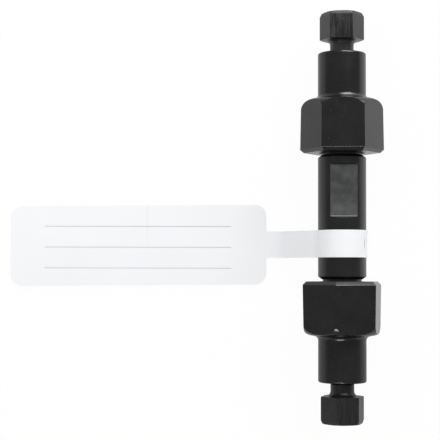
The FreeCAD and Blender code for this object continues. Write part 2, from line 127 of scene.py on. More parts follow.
class FittingSizes(bpy.types.PropertyGroup):
    flats: length("Across flats", "Across the flats of the nut at its inner end", 19.1)
    nut_length: length("Nut length", "Length of the nut up to its shoulder", 14.2)
    draft: angle("Draft", "Slope of the nut's flats, which narrow outwards", 0.9)
    corner: length("Corner radius", "Softness of the nut's long corners", 0.4)
    edge: length("Edge bevel", "Bevel round the inner end of the nut", 0.9)
    crown: length("Crown radius", "Rounding of the nut's corners at the shoulder", 2.9)
    fall: length("Shoulder fall", "Fall of the shoulder from collar to crown", 0.15)
    collar: length("Collar", "Diameter of the collar round the port", 12.6)
    root: length("Collar root", "Hollow radius at the foot of the collar", 1.2)
    collar_edge: length("Collar edge", "Rounding at the free end of the collar", 0.5)
    inlet_turn: angle("Inlet turn", "Turn of the inlet nut, from a corner straight up", -33.4)
    outlet_turn: angle("Outlet turn", "Turn of the outlet nut, from a corner straight up", -13.8)


class PlugSizes(bpy.types.PropertyGroup):
    flats: length("Across flats", "Across the flats of the head", 10.15)
    head_length: length("Head length", "Length of the head", 7.1)
    corner: length("Corner radius", "Softness of the head's long corners", 0.35)
    tip: length("Tapered end", "Length of the head's tapered end", 1.05)
    taper: angle("Taper", "Slope of the head's tapered end", 15.0)
    crown: length("Crown radius", "Rounding of the head's corners at its end", 0.6)
    under_run: length("Under bevel run", "Bevel under the head's corners, along the axis", 0.25)
    under_reach: length("Under bevel reach", "Bevel under the head's corners, across the axis", 0.4)
    neck: length("Neck", "Diameter of the neck", 6.2)
    neck_length: length("Neck length", "Length of the neck", 3.4)
    root: length("Neck root", "Hollow radius where neck meets head", 1.4)
    lead: length("Neck lead", "Bevel at the inner end of the neck", 0.4)
    shank: length("Shank crest", "Diameter over the threads of the shank", 4.72)
    thread_depth: length("Thread depth", "Depth of the threads of the shank", 0.42)
    pitch: length("Thread pitch", "Pitch of the threads of the shank", 0.794)
    inlet_turn: angle("Inlet turn", "Turn of the inlet plug, from a corner straight up", -36.7)
    outlet_turn: angle("Outlet turn", "Turn of the outlet plug, from a corner straight up", -19.2)


class TagSizes(bpy.types.PropertyGroup):
    film: length("Film", "Thickness of one layer of film", 0.2)
    band: length("Band radius", "Inside radius of the band round the tube", 6.35)
    middle: length("Band place", "From the middle of the column, towards the outlet", 7.0)
    width: length("Strap width", "Width of the band and the strap", 7.1)
    leave: angle("Strap leaves at", "Slope of the strap where it leaves the band", 10.0)
    slope: angle("Strap slope", "Steepest slope of the strap", 46.0)
    bend_upper: length("Upper bend", "Upper bend of the strap", 4.0)
    bend_lower: length("Lower bend", "Lower bend of the strap", 6.0)
    drop: length("Panel drop", "Middle of the panel's thickness below the axis", 10.0)
    start: length("Panel start", "From the axis to the near edge of the panel", 19.5)
    panel_length: length("Panel length", "Length of the panel", 68.75)
    panel_width: length("Panel width", "Width of the panel", 21.45)
    corner: length("Panel corner", "Corner radius of the panel", 3.1)
    shift: length("Panel shift", "Middle of the panel's near edge off the band's, along the axis", 0.05)
    skew: angle("Panel skew", "Turn of the panel, seen from above", 0.4)
    join: length("Join radius", "Hollow radius between band and strap", 1.0)
    slit: length("Slit", "Length of the slit in the band", 2.6)
    slit_gap: length("Slit gap", "Width of the slit", 0.3)
    slit_turn: angle("Slit place", "Place of the slit round the tube, from straight up", 56.0)


class Finish(bpy.types.PropertyGroup):
    black: colour("Black plastic", "Colour of the tube and the fittings", (0.0078, 0.0078, 0.0080))
    milled: colour("Milled flats", "Colour of the milled flats of the tube", (0.030, 0.031, 0.032))
    film: colour("Film", "Colour of the tag's film", (0.90, 0.915, 0.935))
    rule: colour("Ruled lines", "Colour of the plain lines on the tag", (0.34, 0.35, 0.37))
    frit: colour("Porous disc", "Colour of the porous discs", (0.74, 0.72, 0.66))
    ring: colour("Seal ring", "Colour of the seal rings", (0.56, 0.50, 0.38))
    resin: colour("Resin", "Colour of the packed resin", (0.50, 0.30, 0.11))
    moulded_roughness: factor("Moulded roughness", "Roughness of the moulded black plastic", 0.25)
    turned_roughness: factor("Turned roughness", "Roughness of the turned black plastic", 0.30)
    milled_roughness: factor("Milled roughness", "Roughness of the milled flats", 0.52)
    film_roughness: factor("Film roughness", "Roughness of the tag's film", 0.42)


class StageSizes(bpy.types.PropertyGroup):
    distance: length("Camera distance", "Camera to the middle of the picture", 340.0)
    tilt: angle("Camera tilt", "The camera leans from straight down towards the inlet", 2.2)
    roll: angle("Camera roll", "Turn of the camera about the vertical", 0.12)
    middle_x: length("Picture middle X", "Across the column, at the middle of the picture", -31.95)
    middle_y: length("Picture middle Y", "Along the column, at the middle of the picture", -0.81)
    field: length("Picture width", "Width of the picture at the height of the axis", 115.13)
    bench_drop: length("Bench drop", "Bench below the axis at the middle of the column", 10.255)
    bench_tilt: angle("Bench tilt", "Tilt of the bench under the two nuts", 0.97)


GROUPS = {"tube": TubeSizes, "fitting": FittingSizes, "plug": PlugSizes, "tag": TagSizes, "finish": Finish,
          "stage": StageSizes}


class Sizes:
    """The numbers of one settings group, with its lengths in millimetres."""

    def __init__(self, name):
        group = getattr(bpy.context.scene, "column_" + name)
        for key, prop in group.bl_rna.properties.items():
            if prop.type == "FLOAT":
                value = getattr(group, key)
                setattr(self, key, value / MM if prop.unit == "LENGTH" else value)


# Shapes

def arc(across, along, radius, start, stop, runs=6):
    """Points of an arc about a centre, from one angle to another, in degrees."""
    points = []
    for number in range(runs + 1):
        turn = math.radians(start + (stop - start) * number / runs)
        points.append((across + radius * math.cos(turn), along + radius * math.sin(turn)))
    return points


def settle(bm):
    """Put edges and faces in a fixed order, because spin leaves them in a new one each run."""
    bm.verts.index_update()

    def order(item):
        first, *others = sorted(vert.index for vert in item.verts)
        return (first * 1e5 + others[0]) * 1e5 + others[-1]

    bm.edges.sort(key=order)
    bm.faces.sort(key=order)


def spun(outline, ring=False):
    """Turn an outline of (radius, height) about Z. A ring's outline is closed and clear of the axis."""
    bm = bmesh.new()
    verts = [bm.verts.new((across, 0.0, along)) for across, along in outline]
    pairs = list(zip(verts, verts[1:]))
    if ring:
        pairs.append((verts[-1], verts[0]))
    edges = [bm.edges.new(pair) for pair in pairs]
    bmesh.ops.spin(bm, geom=verts + edges, axis=(0.0, 0.0, 1.0), angle=FULL_TURN, steps=SPIN_STEPS,
                   use_merge=True)
    settle(bm)
    bmesh.ops.remove_doubles(bm, verts=bm.verts, dist=WELD)
    settle(bm)
    bmesh.ops.recalc_face_normals(bm, faces=bm.faces)
    return bm


def mill(bm, point, normal):
    """Take off what lies beyond a plane and close the flat."""
    everything = bm.verts[:] + bm.edges[:] + bm.faces[:]
    cut = bmesh.ops.bisect_plane(bm, geom=everything, plane_co=point, plane_no=normal, dist=TOUCH,
                                 clear_outer=True)
    rim = [item for item in cut["geom_cut"] if isinstance(item, bmesh.types.BMEdge)]
    open_rim = [edge for edge in rim if edge.is_boundary]
    if open_rim:
        bmesh.ops.edgeloop_fill(bm, edges=open_rim)
    settle(bm)


def around(turn, distance, height, slope):
    """A point on a plane that leans in by slope, facing out at a turn about Z, and its normal."""
    out = Vector((math.cos(turn), math.sin(turn), 0.0))
    normal = out * math.cos(slope) + Vector((0.0, 0.0, math.sin(slope)))
    return out * distance + Vector((0.0, 0.0, height)), normal


def mill_hexagon(bm, flats, corner, draft=0.0, height=0.0):
    """Six flats, as wide as stated at a height, and the soft corners between them. A corner is at +Y."""
    apothem = flats / 2.0
    side = math.cos(math.pi / HEX_SIDES)
    for number in range(HEX_SIDES):
        turn = FULL_TURN * number / HEX_SIDES
        mill(bm, *around(turn, apothem, height, draft))
        for step in CORNER_FACETS:
            lean = math.cos(math.radians(step)) / side
            facing = turn + math.pi / HEX_SIDES + math.radians(step)
            distance = (apothem - corner) * lean + corner
            mill(bm, *around(facing, distance, height, math.atan(math.tan(draft) * lean)))


def mill_edge(bm, flats, edge):
    """The bevel round the hexagon's end at height zero, with a soft step to each flat."""
    for number in range(HEX_SIDES):
        turn = FULL_TURN * number / HEX_SIDES
        mill(bm, *around(turn, flats / 2.0 - edge, 0.0, BEVEL_SLOPE))
        mill(bm, *around(turn, flats / 2.0, edge * STEP_HEIGHT, STEP_SLOPE))


def ridge(wall, crest, pitch, start, stop):
    """A helical thread ridge on a wall, from one height to another, fading out at both ends."""
    steps = int(THREAD_STEPS * (stop - start - pitch) / pitch)
    sunk = wall - THREAD_FOOT if crest > wall else wall + THREAD_FOOT
    sides = list(zip((sunk, wall, crest), THREAD_PROFILE))
    outline = [(radius, -half) for radius, half in sides] + sides[::-1]
    bm = bmesh.new()
    verts = [bm.verts.new((across, 0.0, start + (0.5 + along) * pitch)) for across, along in outline]
    edges = [bm.edges.new(pair) for pair in zip(verts, verts[1:] + verts[:1])]
    bmesh.ops.spin(bm, geom=verts + edges, axis=(0.0, 0.0, 1.0), dvec=(0.0, 0.0, pitch / THREAD_STEPS),
                   angle=FULL_TURN * steps / THREAD_STEPS, steps=steps, use_merge=False)
    settle(bm)
    bm.verts.ensure_lookup_table()
    for vert in bm.verts:
        step = vert.index // len(outline)
        fade = min(1.0, step / THREAD_FADE, (steps - step) / THREAD_FADE)
        radius = Vector(vert.co[:2]).length
        inside = (radius - sunk) * (1.0 - fade)
        vert.co.xy *= (radius - inside) / radius
    bmesh.ops.holes_fill(bm, edges=[edge for edge in bm.edges if edge.is_boundary], sides=len(outline))
    bmesh.ops.recalc_face_normals(bm, faces=bm.faces)
    return bm


def laid(end, station, turn=0.0):
    """Lays a piece modelled along +Z on the column's axis: its origin at station towards one end."""
    upright = Matrix.Rotation(math.radians(-90.0 * end), 4, "X")
    turning = Matrix.Rotation(turn, 4, "Y")
    return Matrix.Scale(MM, 4) @ Matrix.Translation((0.0, end * station, 0.0)) @ turning @ upright


def piece(name, meshes, place, body, material, replaces=()):
    """Join bmeshes into one finished piece that rides on a body, smooth but for its sharp edges."""
    mesh = bpy.data.meshes.new(name)
    whole = bmesh.new()
    for bm in meshes:
        part = bpy.data.meshes.new("part")
        bm.to_mesh(part)
        bm.free()
        whole.from_mesh(part)
        bpy.data.meshes.remove(part)
    bmesh.ops.transform(whole, matrix=place, verts=whole.verts)
    settle(whole)
    whole.to_mesh(mesh)
    whole.free()
    if not mesh.polygons:
        raise RuntimeError(name + " came out empty")
    item = bpy.data.objects.new(name, mesh)
    bpy.context.scene.collection.objects.link(item)
    mesh.materials.append(material)
    mesh.shade_smooth()
    mesh.set_sharp_from_angle(angle=SHARP)
    item.modifiers.new("Even shading", "WEIGHTED_NORMAL").keep_sharp = True
    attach(item, body)
    if replaces:
        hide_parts(*replaces)


def cut_away(bm, cutter):
    """Take one solid out of another."""
    items = []
    for solid in (bm, cutter):
        mesh = bpy.data.meshes.new("solid")
        solid.to_mesh(mesh)
        solid.free()
        items.append(bpy.data.objects.new("solid", mesh))
        bpy.context.scene.collection.objects.link(items[-1])
    change = items[0].modifiers.new("Cut", "BOOLEAN")
    change.object = items[1]
    change.solver = "EXACT"
    bpy.context.view_layer.update()
    left = bmesh.new()
    left.from_object(items[0], bpy.context.evaluated_depsgraph_get())
    for item in items:
        mesh = item.data
        bpy.data.objects.remove(item)
        bpy.data.meshes.remove(mesh)
    return left


def prism(outline, low, high):
    """Extrude an outline of (x, y) along Z."""
    bm = bmesh.new()
    face = bm.faces.new([bm.verts.new((x, y, low)) for x, y in outline])
    grown = bmesh.ops.extrude_face_region(bm, geom=[face])
    moved = [item for item in grown["geom"] if isinstance(item, bmesh.types.BMVert)]
    bmesh.ops.translate(bm, vec=(0.0, 0.0, high - low), verts=moved)
    bmesh.ops.recalc_face_normals(bm, faces=bm.faces)
    return bm


def station(node):
    """The lowest and highest distance of a CAD node along the column's axis, in millimetres."""
    low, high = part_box(node)
    return low.y / MM, high.y / MM


# Materials

class Socket:
    """One output of a shader tree. Sums on it add Math nodes."""

    def __init__(self, tree, output=None):
        self.tree = tree
        self.output = output

    def node(self, kind, settings=None, values=None, output=0):
        """Add a node: its settings come first, then the values or links of its sockets."""
        node = self.tree.nodes.new("ShaderNode" + kind)
        for key, value in (settings or {}).items():
            if key == "stops":
                set_stops(node.color_ramp.elements, value)
            else:
                setattr(node, key, value)
        for key, value in (values or {}).items():
            if isinstance(value, Socket):
                self.tree.links.new(value.output, node.inputs[key])
            else:
                node.inputs[key].default_value = value
        return Socket(self.tree, node.outputs[output] if len(node.outputs) else None)

    def math(self, operation, *values):
        return self.node("Math", {"operation": operation}, dict(enumerate(values)))

    def __add__(self, other):
        return self.math("ADD", self, other)

    def __sub__(self, other):
        return self.math("SUBTRACT", self, other)

    def __rsub__(self, other):
        return self.math("SUBTRACT", other, self)

    def __mul__(self, other):
        return self.math("MULTIPLY", self, other)

    def __abs__(self):
        return self.math("ABSOLUTE", self)

    __radd__ = __add__
    __rmul__ = __mul__

    def between(self, low, high):
        """0 below low, 1 above high, smooth between."""
        return self.node("MapRange", {"interpolation_type": "SMOOTHSTEP", "clamp": True},
                         {"Value": self, "From Min": low, "From Max": high})

    def band(self, low, rise, fall, high):
        """1 between rise and fall, 0 below low and above high, smooth between."""
        return self.between(low, rise) * (1.0 - self.between(fall, high))

    def noise(self, vector, scale, detail=2.0, roughness=0.5):
        return self.node("TexNoise", {}, {"Vector": vector, "Scale": scale, "Detail": detail,
                                          "Roughness": roughness})

    def stretched(self, vector, scales):
        return self.node("Mapping", {}, {"Vector": vector, "Scale": scales})

    def mix(self, share, first, second):
        return self.node("Mix", {"data_type": "RGBA"}, {0: share, 6: first, 7: second}, output=2)

    def bump(self, height, distance, strength, normal=None):
        values = {"Height": height, "Distance": distance, "Strength": strength}
        if normal:
            values["Normal"] = normal
        return self.node("Bump", {}, values)


def set_stops(elements, stops):
    """Place a ramp's stops, each a position and a grey or a colour."""
    while len(elements) < len(stops):
        elements.new(1.0)
    for element, (position, value) in zip(elements, stops):
        element.position = position
        element.color = value


def rgba(value, share=1.0):
    return tuple(part * share for part in value) + (1.0,)


def new_material(name):
    """An empty material and the start of its tree."""
    material = bpy.data.materials.new(name)
    material.use_nodes = True
    material.node_tree.nodes.clear()
    return material, Socket(material.node_tree)


def surface(tree, values):
    """The principled surface of a material."""
    shader = tree.node("BsdfPrincipled", {}, values)
    tree.node("OutputMaterial", {}, {"Surface": shader})


def object_place(tree):
    """Object coordinates, and each of them by itself, in metres."""
    place = tree.node("TexCoord", {}, {}, "Object")
    apart = tree.node("SeparateXYZ", {}, {0: place}).output.node
    return place, [Socket(tree.tree, output) for output in apart.outputs]


def black_plastic(name, look, roughness, turned=False, handled=0.0):
    """Black engineering plastic: a deep tone, soft mottling, fine grain, scuffs, dust and rub marks. The rub
    marks are lighter on the inlet plug as painted sheen, and a lighter band round the inlet plug's neck is a
    painted highlight.
    """
    material, tree = new_material(name)
    place, (x, y, z) = object_place(tree)
    mottle = tree.noise(place, 160.0, 3.0)
    grain = tree.noise(place, 5200.0, 2.0)
    scuffs = tree.noise(tree.stretched(place, (900.0, 140.0, 900.0)), 1.0, 4.0, 0.7).between(0.60, 0.78)
    specks = tree.noise(place, 1900.0, 1.0, 0.4).between(0.735, 0.775)
    tone = tree.mix(mottle.between(0.3, 0.7), rgba(look.black, 0.82), rgba(look.black, 1.25))
    tone = tree.mix(scuffs * 0.22, tone, rgba(look.black, 3.0))
    tone = tree.mix(specks * 0.35, tone, rgba(look.black, 9.0))
    rubbed = tree.noise(tree.stretched(place, (2600.0, 240.0, 2600.0)), 1.0, 3.0).between(0.40, 0.66)
    # Rub marks are real wear; on the inlet plug they turn much lighter (6 rather than 2.2 times the black),
    # which is painted sheen.
    rub_tone_and_painted_sheen = tree.mix(y.between(-0.01, 0.01), rgba(look.black, 2.2), rgba(look.black, 6.0))
    tone = tree.mix(rubbed * handled, tone, rub_tone_and_painted_sheen)
    rough = roughness + (mottle - 0.5) * 0.07 + scuffs * 0.10 + specks * 0.15
    if handled:
        # A lighter band round the inlet plug's neck, 43 to 47 mm along the axis, is a painted highlight.
        painted_neck_highlight = y.band(0.0430, 0.0436, 0.0463, 0.0468)
        tone = tree.mix(painted_neck_highlight * (0.35 + mottle * 0.3), tone, rgba(look.black, 5.0))
        rough = rough + rubbed * 0.08
    if turned:
        flat = abs(z).band(0.00521, 0.00524, 0.00526, 0.00529) * y.band(0.0, 0.0001, 0.0136, 0.0137)
        stain = tree.noise(place, 420.0, 4.0, 0.65)
        # Each milled flat is darkest near its middle, 7.6 mm from the middle of the column, and lighter
        # towards both ends, mottled by the stain noise.
        lighter_ends_and_stain = abs(y - 0.0076).between(0.0015, 0.0062) * 0.7 + (stain - 0.45) * 2.2
        milled = tree.mix(lighter_ends_and_stain, rgba(look.milled, 0.80), rgba(look.milled, 2.5))
        tone = tree.mix(flat * 0.9, tone, milled)
        rough = rough + flat * (look.milled_roughness - roughness)
        lines = tree.noise(tree.stretched(place, (60.0, 9000.0, 60.0)), 1.0, 2.0)
        bump = tree.bump(lines * (1.0 - flat), 0.00001, 0.35)
    else:
        bump = tree.bump(mottle, 0.00005, 0.25)
    bump = tree.bump(grain, 0.000006, 0.5, bump)
    surface(tree, {"Base Color": tone, "Roughness": rough, "Normal": bump, "IOR": 1.5})
    return material


def white_film(look):
    """Smooth white film with a faint waviness, a scored line, and a few plain ruled lines to write on."""
    material, tree = new_material("white_film")
    place, (x, y, z) = object_place(tree)
    cloud = tree.noise(place, 60.0, 2.0)
    wave = tree.noise(tree.stretched(place, (45.0, 90.0, 45.0)), 1.0, 1.0)
    grain = tree.noise(place, 2600.0, 2.0)
    tone = tree.mix(cloud.between(0.25, 0.75), rgba(look.film, 0.985), rgba(look.film))
    top = z.between(-0.0099, -0.00983)
    across = x.band(-0.0792, -0.0790, -0.0290, -0.0288)
    for line in (-0.0022, -0.0078, -0.0134):
        ruled = 1.0 - abs(y - line).between(0.00006, 0.00011)
        tone = tree.mix(ruled * across * top * 0.75, tone, rgba(look.rule))
    score = (1.0 - abs(x + 0.0515).between(0.00005, 0.00018)) * y.between(-0.0075, -0.0068)
    tone = tree.mix(score * 0.10, tone, rgba(look.rule))
    bump = tree.bump(wave, 0.0004, 0.25)
    bump = tree.bump(grain, 0.000004, 0.35, bump)
    rough = look.film_roughness + (cloud - 0.5) * 0.08
    surface(tree, {"Base Color": tone, "Roughness": rough, "Normal": bump, "IOR": 1.48})
    return material


def sintered(name, base, size):
    """Sintered or packed grains: a cell pattern in tone and height."""
    material, tree = new_material(name)
    place, _ = object_place(tree)
    cells = tree.node("TexVoronoi", {"feature": "F1"}, {"Vector": place, "Scale": 1.0 / size}, "Distance")
    cloud = tree.noise(place, 900.0, 3.0)
    dark = tree.mix(cells.between(0.25, 0.75), rgba(base, 1.05), rgba(base, 0.62))
    tone = tree.mix(cloud * 0.25, dark, rgba(base, 0.8))
    bump = tree.bump(1.0 - cells, size * 0.4, 0.8)
    surface(tree, {"Base Color": tone, "Roughness": 0.75 + cloud * 0.1, "Normal": bump})
    return material


def natural_plastic(look):
    """The seal rings: plain turned plastic with fine rings of tool marks."""
    material, tree = new_material("natural_plastic")
    place, _ = object_place(tree)
    cloud = tree.noise(place, 700.0, 3.0)
    tone = tree.mix(cloud.between(0.3, 0.7), rgba(look.ring, 0.9), rgba(look.ring, 1.06))
    bump = tree.bump(tree.noise(place, 6000.0), 0.000008, 0.5)
    surface(tree, {"Base Color": tone, "Roughness": 0.42 + cloud * 0.08, "Normal": bump})
    return material


# Operators, one for each piece or group of like pieces

class COLUMN_OT_tube(bpy.types.Operator):
    """Build the tube with its threaded ends and its two wrench flats"""
    bl_idname = "column.tube"
    bl_label = "Tube"

    def execute(self, context):
        sizes, look = Sizes("tube"), Sizes("finish")
        low, high = station("column_tube")
        whole = high - low
        barrel, relief = sizes.barrel / 2.0, sizes.relief / 2.0
        wall = sizes.spigot / 2.0 - sizes.thread_depth
        bore, chamfer, lead = 2.0, 0.15, 0.4
        edge = (whole - sizes.barrel_length) / 2.0
        slope = edge - sizes.slope_run
        start = slope - sizes.relief_width
        half = [(bore + chamfer, 0.0), (wall - lead, 0.0), (wall, lead), (wall, start),
                (relief, start + 0.12), (relief, slope), (barrel - sizes.slope_reach, slope),
                (barrel - 0.06, edge - 0.05), (barrel, edge + 0.08)]
        other = [(across, whole - along) for across, along in reversed(half)]
        blank = spun(half + other + [(bore, whole - chamfer), (bore, chamfer)], ring=True)
        crest, first, last = sizes.spigot / 2.0, lead * 0.5, start + 0.1
        threads = [ridge(wall, crest, sizes.pitch, first, last),
                   ridge(wall, crest, sizes.pitch, whole - last, whole - first)]
        material = black_plastic("turned_black_plastic", look, look.turned_roughness, turned=True)
        for side in (1.0, -1.0):
            blank = cut_away(blank, self.cutter(sizes, whole / 2.0, side))
        place = laid(INLET, -whole / 2.0)
        piece("tube_body", [blank], place, "column", material, ["column_tube"])
        piece("tube_threads", threads, place, "column", material)
        return {"FINISHED"}

    def cutter(self, sizes, middle, side):
        """The path of the milling cutter that leaves one flat, with hollow feet at its sloping shoulders."""
        flat, barrel = sizes.flats / 2.0, sizes.barrel / 2.0
        near = middle + sizes.flats_start
        far = near + sizes.flats_length
        rise, reach, foot = 2.0, 10.0, sizes.flats_foot
        run = sizes.flats_run * rise / (barrel - flat)
        lean = math.degrees(math.atan2(run, rise))
        outline = arc(near + foot, flat + foot, foot, -90.0, -180.0 + lean, 5)
        outline += [(near - run, flat + rise), (far + run, flat + rise)]
        outline += arc(far - foot, flat + foot, foot, -lean, -90.0, 5)
        bm = prism(outline, -reach, reach)
        standing = Matrix(((0, 0, 1, 0), (0, side, 0, 0), (1, 0, 0, 0), (0, 0, 0, 1)))
        bmesh.ops.transform(bm, matrix=standing, verts=bm.verts)
        bmesh.ops.recalc_face_normals(bm, faces=bm.faces)
        return bm


class COLUMN_OT_fittings(bpy.types.Operator):
    """Build both end fittings: crowned nut, collar, and the threaded cavity from end to end"""
    bl_idname = "column.fittings"
    bl_label = "End Fittings"

    def execute(self, context):
        sizes, look = Sizes("fitting"), Sizes("finish")
        material = black_plastic("moulded_black_plastic", look, look.moulded_roughness)
        for name, end in ENDS:
            low, high = station(name + "_end_fitting")
            whole = high - low
            blank = spun(self.outline(sizes, whole), ring=True)
            mill_hexagon(blank, sizes.flats, sizes.corner, sizes.draft)
            mill_edge(blank, sizes.flats, sizes.edge)
            threads = [ridge(*TUBE_THREAD, 0.3, 6.9), ridge(*PORT_THREAD, whole - 7.3, whole - 0.2)]
            turn = getattr(sizes, name + "_turn")
            piece(name + "_fitting_body", [blank] + threads, laid(end, min(abs(low), abs(high)), turn),
                  name + "_fitting", material, [name + "_end_fitting"])
        return {"FINISHED"}

    def outline(self, sizes, whole):
        """The turned blank of a fitting, from the cavity's mouth round the outside and back inside."""
        nut, collar, root, crown = sizes.nut_length, sizes.collar / 2.0, sizes.root, sizes.crown
        tip = (sizes.flats - nut * 2.0 * math.tan(sizes.draft)) / math.sqrt(3.0)
        widest = sizes.flats / math.sqrt(3.0) + 0.3
        fall = nut - sizes.fall
        mouth, relief = 6.2, 0.35
        outside = [(mouth, 0.0), (widest, 0.0), (widest, fall - crown)]
        outside += arc(tip - crown, fall - crown, crown, 0.0, 90.0, 12)
        outside += arc(collar + root, nut + root, root, 270.0, 180.0, 8)
        edge = sizes.collar_edge
        outside += arc(collar - edge, whole - edge, edge, 0.0, 90.0, 4)
        seat, port, pocket_end = 10.3, whole - 7.5, whole - 12.0
        wide, narrow, _ = PORT_THREAD
        tube_wide, tube_narrow, _ = TUBE_THREAD
        cone, pocket, passage, spread, lead = 2.0, 0.8, 0.4, 2.3, 0.3
        inside = [(wide + 0.14, whole), (wide, whole - lead), (wide, port + lead), (narrow, port),
                  (cone, port), (pocket, port - 3.3), (pocket, pocket_end), (passage, pocket_end),
                  (passage, seat + 0.4), (spread, seat), (tube_narrow, seat), (tube_narrow, 7.2),
                  (tube_wide, 6.8), (tube_wide, relief)]
        return outside + inside


class COLUMN_OT_plugs(bpy.types.Operator):
    """Build both plugs: hex head, neck with a hollow root, threaded shank and conical nose"""
    bl_idname = "column.plugs"
    bl_label = "Plugs"
    nose = [(0.0, 0.0), (0.74, 0.0), (0.82, 0.08), (1.88, 2.9), (1.88, 3.4)]

    def execute(self, context):
        sizes, look = Sizes("plug"), Sizes("finish")
        rough = look.moulded_roughness + 0.05
        material = black_plastic("handled_black_plastic", look, rough, handled=0.55)
        for name, end in ENDS:
            low, high = station(name + "_plug")
            whole = high - low
            blank = spun(self.outline(sizes, whole))
            mill_hexagon(blank, sizes.flats, sizes.corner)
            mill_hexagon(blank, sizes.flats, sizes.corner, sizes.taper, whole - sizes.tip)
            under = whole - sizes.head_length - sizes.neck_length
            crest = sizes.shank / 2.0
            thread = ridge(crest - sizes.thread_depth, crest, sizes.pitch, self.nose[-1][1], under)
            turn = getattr(sizes, name + "_turn")
            piece(name + "_plug_body", [blank, thread], laid(end, min(abs(low), abs(high)), turn),
                  name + "_plug_body", material, [name + "_plug"])
        return {"FINISHED"}

    def outline(self, sizes, whole):
        """The turned blank of a plug, from the middle of its nose to the middle of its end."""
        neck, root = sizes.neck / 2.0, sizes.root
        under = whole - sizes.head_length
        start = under - sizes.neck_length
        shank = sizes.shank / 2.0 - sizes.thread_depth
        tip = sizes.flats / math.sqrt(3.0)
        end = tip - sizes.tip * math.tan(sizes.taper) * 2.0 / math.sqrt(3.0)
        crown = sizes.crown
        points = self.nose + [(shank, 3.5), (shank, start), (neck - sizes.lead, start)]
        points += arc(neck - sizes.lead, start + sizes.lead, sizes.lead, -90.0, 0.0, 4)[1:]
        points += arc(neck + root, under - root, root, 180.0, 90.0, 8)
        spare = tip + 0.2
        points += [(tip - sizes.under_reach, under), (spare, under + sizes.under_run)]
        points += [(spare, whole - sizes.tip), (end, whole - crown)]
        points += arc(end - crown, whole - crown, crown, 0.0, 90.0, 6)[1:]
        return points + [(0.0, whole)]


class COLUMN_OT_seals(bpy.types.Operator):
    """Build the porous discs with their rings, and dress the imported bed"""
    bl_idname = "column.seals"
    bl_label = "Discs, Rings and Bed"

    def execute(self, context):
        look = Sizes("finish")
        porous = sintered("sintered_plastic", look.frit, 0.00012)
        plastic = natural_plastic(look)
        rim, edge, ring, corner = 3.2, 0.1, 3.22, 0.2
        middle = 5.1
        for name, end in ENDS:
            low, high = station(name + "_frit")
            thick = high - low
            place = laid(end, min(abs(low), abs(high)))
            disc = spun([(0.0, 0.0), (rim - edge, 0.0), (rim, edge), (rim, thick - edge), (rim - edge, thick),
                         (0.0, thick)])
            piece(name + "_frit_disc", [disc], place, name + "_fitting", porous,
                  [name + "_frit"])
            outline = [(ring, edge), (ring + edge, 0.0)] + arc(middle, corner, corner, -90.0, 0.0, 4)
            outline += arc(middle, thick - corner, corner, 0.0, 90.0, 4)
            outline += [(ring + edge, thick), (ring, thick - edge)]
            piece(name + "_ring", [spun(outline, ring=True)], place, name + "_fitting",
                  plastic, [name + "_seal_ring"])
        bed = NODES["resin_bed"]
        bed.data.materials.clear()
        bed.data.materials.append(sintered("packed_resin", look.resin, 0.00008))
        return {"FINISHED"}


